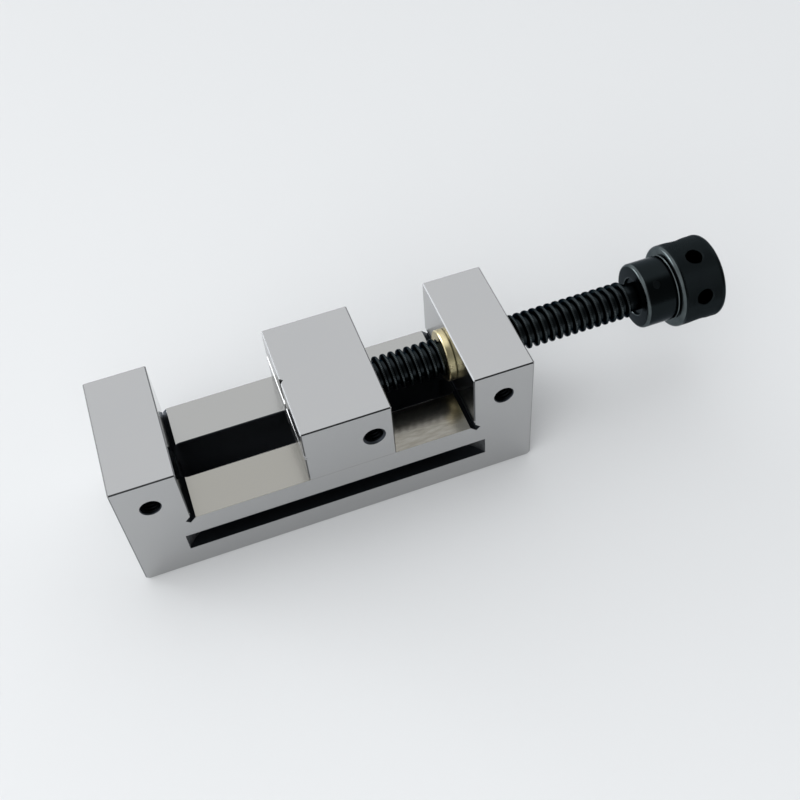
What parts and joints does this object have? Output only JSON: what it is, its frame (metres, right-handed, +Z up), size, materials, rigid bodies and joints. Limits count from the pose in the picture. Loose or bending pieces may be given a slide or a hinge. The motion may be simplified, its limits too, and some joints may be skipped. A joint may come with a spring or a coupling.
{
  "type": "precision vise",
  "caption": "Screw-type precision vise: ground body with fixed jaw and nut block, jaw on rails, brass nut, black screw with a knurled knob.",
  "frame": {"origin": "centre of the body's ground underside", "axes": "+X from the fixed jaw to the knob along the lead screw, +Y to the back side, +Z up"},
  "size_m": [0.2262, 0.05, 0.0549],
  "materials": {
    "ground_steel": "ground and polished hardened steel",
    "black_oxide_steel": "black oxide on steel",
    "blackened_screw_steel": "black oxide on a rolled trapezoidal thread, lightly oiled",
    "ball_steel": "polished bearing steel",
    "nut_brass": "turned brass",
    "black_oxide_knob": "black oxide, smooth hub and diamond-knurled head"
  },
  "bodies": {
    "base": {"vise_body": "ground_steel", "screw_nut": "nut_brass", "nut_lock_screw_front": "black_oxide_steel", "nut_lock_screw_back": "black_oxide_steel"},
    "jaw": {"movable_jaw": "ground_steel", "keeper_plate": "black_oxide_steel", "keeper_screw_front": "black_oxide_steel", "keeper_screw_rear": "black_oxide_steel", "keeper_washer_front": "black_oxide_steel", "keeper_washer_rear": "black_oxide_steel", "nose_lock_screw_front": "black_oxide_steel", "nose_lock_screw_back": "black_oxide_steel", "thrust_ball": "ball_steel"},
    "screw": {"lead_screw": "blackened_screw_steel", "knob": "black_oxide_knob", "knob_pin": "black_oxide_steel"}
  },
  "joints": [
    {"name": "jaw_slide", "type": "slide", "parent": "base", "child": "jaw", "axis": [1, 0, 0], "range_m": [-0.0414, 0.026]},
    {"name": "screw_turn", "type": "hinge", "parent": "jaw", "child": "screw", "pos_m": [0, 0, 0.0395], "axis": [1, 0, 0], "range_deg": [-4978, 3130]}
  ],
  "couplings": [
    {"joint": "screw_turn", "follows": "jaw_slide", "rad_per_m": 2094.4}
  ]
}
